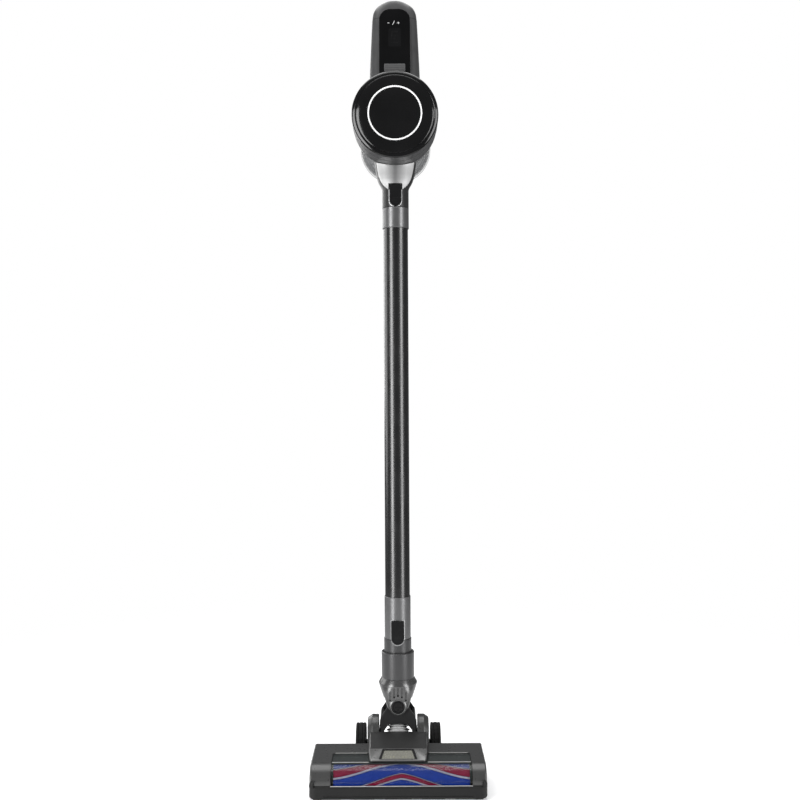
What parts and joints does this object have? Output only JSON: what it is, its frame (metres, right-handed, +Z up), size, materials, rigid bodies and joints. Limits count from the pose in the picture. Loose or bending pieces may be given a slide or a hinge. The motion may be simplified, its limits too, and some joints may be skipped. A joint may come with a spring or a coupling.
{
  "type": "cordless stick vacuum",
  "caption": "Cordless stick vacuum: motorised floor head on a two-axis neck, straight wand, and a hand unit with cyclone bin, filter cap, grip and battery.",
  "frame": {"origin": "centre of the footprint box on the floor, with the stick upright", "axes": "+Z up the stick; -Y is the front, where the brush window and the filter cap face; +X to the right seen from the front"},
  "size_m": [0.2412, 0.272, 1.123],
  "materials": {
    "gunmetal": "satin gunmetal grey moulding",
    "graphite": "fine textured graphite moulding",
    "dark_plastic": "dark grey moulding",
    "piano_black": "polished black",
    "display_black": "polished black panel",
    "button_black": "satin black",
    "button_grey": "satin grey",
    "silver": "satin silver",
    "bright_ring": "bright polished ring",
    "collar_metallic": "metallic grey paint",
    "tube_black": "gloss black anodised",
    "smoked_clear": "smoked clear",
    "lens_frost": "frosted clear",
    "circuit_board": "printed board",
    "steel": "bright steel",
    "motor_can": "metal can",
    "rubber": "black rubber",
    "brush_fibre": "blue and crimson pile",
    "hose_grey": "ribbed grey",
    "filter_white": "pleated filter",
    "mesh_steel": "perforated metal",
    "battery_case": "satin dark grey",
    "latch_red": "red moulding"
  },
  "bodies": {
    "floor_head": {"head_base": "graphite", "head_cover": "graphite", "front_bumper": "rubber", "brush_window": "smoked_clear", "central_housing": "graphite", "light_lens": "lens_frost", "light_board": "circuit_board", "brush_motor": "motor_can", "drive_belt": "rubber", "brush_bearing_left": "dark_plastic", "brush_bearing_right": "dark_plastic", "hinge_pin_left": "steel", "hinge_pin_right": "steel", "glide_pad_left": "dark_plastic", "glide_pad_right": "dark_plastic", "base_screw_left": "steel", "base_screw_right": "steel", "neck_hose_lower": "hose_grey"},
    "brush_roller": {"brush_core": "dark_plastic", "brush_fibres": "brush_fibre", "brush_pulley": "dark_plastic"},
    "motor_pulley": {"motor_pulley": "steel"},
    "rear_wheel_left": {"rear_wheel_left": "rubber"},
    "rear_wheel_right": {"rear_wheel_right": "rubber"},
    "lower_neck": {"lower_neck": "dark_plastic", "swivel_pin": "steel", "neck_hose_upper": "hose_grey"},
    "upper_neck": {"upper_neck": "gunmetal", "swivel_cap": "button_black", "neck_sleeve": "gunmetal", "neck_socket": "gunmetal"},
    "wand": {"lower_collar": "collar_metallic", "wand_tube": "tube_black", "upper_collar": "collar_metallic", "wire_conduit": "dark_plastic"},
    "lower_release_button": {"lower_release_button": "button_black"},
    "main_unit": {"inlet_neck": "graphite", "neck_cover": "silver", "cyclone_housing": "gunmetal", "cyclone_core": "dark_plastic", "shroud_mesh": "mesh_steel", "dust_bin": "smoked_clear", "motor_housing": "gunmetal", "top_panel": "display_black", "control_board": "circuit_board", "suction_motor": "motor_can", "grip": "dark_plastic", "lid_hinge_pin": "steel"},
    "upper_release_button": {"upper_release_button": "button_black"},
    "filter_cap": {"filter_cap": "piano_black", "trim_ring": "bright_ring", "hepa_filter": "filter_white"},
    "impeller": {"impeller": "dark_plastic"},
    "trigger": {"trigger": "button_black"},
    "power_button": {"power_button": "button_grey"},
    "battery": {"battery_pack": "battery_case"},
    "battery_release": {"battery_release": "button_black"},
    "bin_lid": {"bin_lid": "smoked_clear", "bin_lid_seal": "rubber"},
    "bin_latch": {"bin_latch": "latch_red"}
  },
  "joints": [
    {"name": "neck_pitch", "type": "hinge", "parent": "floor_head", "child": "lower_neck", "pos_m": [0, -0.019, 0.058], "axis": [-1, 0, 0], "range_deg": [0, 75], "deforming": ["neck_hose_lower"]},
    {"name": "neck_roll", "type": "hinge", "parent": "lower_neck", "child": "upper_neck", "pos_m": [0, -0.019, 0.099], "axis": [0, 1, 0], "range_deg": [-45, 45], "deforming": ["neck_hose_upper"]},
    {"name": "wand_lift_off", "type": "slide", "parent": "upper_neck", "child": "wand", "axis": [0, 0, 1], "range_m": [0, 0.06]},
    {"name": "main_unit_lift_off", "type": "slide", "parent": "wand", "child": "main_unit", "axis": [0, 0, 1], "range_m": [0, 0.06]},
    {"name": "lower_button_press", "type": "slide", "parent": "wand", "child": "lower_release_button", "axis": [0, 1, 0], "range_m": [0, 0.002], "stiffness_N_per_m": 900, "springref_m": -0.001},
    {"name": "upper_button_press", "type": "slide", "parent": "main_unit", "child": "upper_release_button", "axis": [0, 1, 0], "range_m": [0, 0.0018], "stiffness_N_per_m": 900, "springref_m": -0.001},
    {"name": "brush_spin", "type": "hinge", "parent": "floor_head", "child": "brush_roller", "pos_m": [0, -0.1085, 0.0225], "axis": [1, 0, 0], "continuous": true},
    {"name": "brush_motor_spin", "type": "hinge", "parent": "floor_head", "child": "motor_pulley", "pos_m": [-0.1025, -0.062, 0.022], "axis": [1, 0, 0], "continuous": true},
    {"name": "rear_wheel_left_spin", "type": "hinge", "parent": "floor_head", "child": "rear_wheel_left", "pos_m": [-0.0555, 0.015, 0.028], "axis": [1, 0, 0], "continuous": true},
    {"name": "rear_wheel_right_spin", "type": "hinge", "parent": "floor_head", "child": "rear_wheel_right", "pos_m": [0.0555, 0.015, 0.028], "axis": [1, 0, 0], "continuous": true},
    {"name": "impeller_spin", "type": "hinge", "parent": "main_unit", "child": "impeller", "pos_m": [0, -0.01, 1.014], "axis": [0, 0, 1], "continuous": true},
    {"name": "trigger_pull", "type": "slide", "parent": "main_unit", "child": "trigger", "axis": [0, 0, 1], "range_m": [0, 0.004], "stiffness_N_per_m": 600, "springref_m": -0.001},
    {"name": "power_press", "type": "slide", "parent": "main_unit", "child": "power_button", "axis": [0, 0.9827, -0.1853], "range_m": [0, 0.001], "stiffness_N_per_m": 1500, "springref_m": -0.0005},
    {"name": "battery_slide", "type": "slide", "parent": "main_unit", "child": "battery", "axis": [0, 1, 0], "range_m": [0, 0.06]},
    {"name": "battery_release_press", "type": "slide", "parent": "battery", "child": "battery_release", "axis": [0, 0, -1], "range_m": [0, 0.0015], "stiffness_N_per_m": 900, "springref_m": -0.001},
    {"name": "bin_lid_swing", "type": "hinge", "parent": "main_unit", "child": "bin_lid", "pos_m": [0, 0.1182, 1.0025], "axis": [1, 0, 0], "range_deg": [0, 85]},
    {"name": "bin_latch_slide", "type": "slide", "parent": "main_unit", "child": "bin_latch", "axis": [0, -1, 0], "range_m": [0, 0.004], "stiffness_N_per_m": 400, "springref_m": -0.001},
    {"name": "filter_cap_pull", "type": "slide", "parent": "main_unit", "child": "filter_cap", "axis": [0, -1, 0], "range_m": [0, 0.03]}
  ],
  "couplings": [
    {"joint": "brush_motor_spin", "follows": "brush_spin", "ratio": 2}
  ]
}
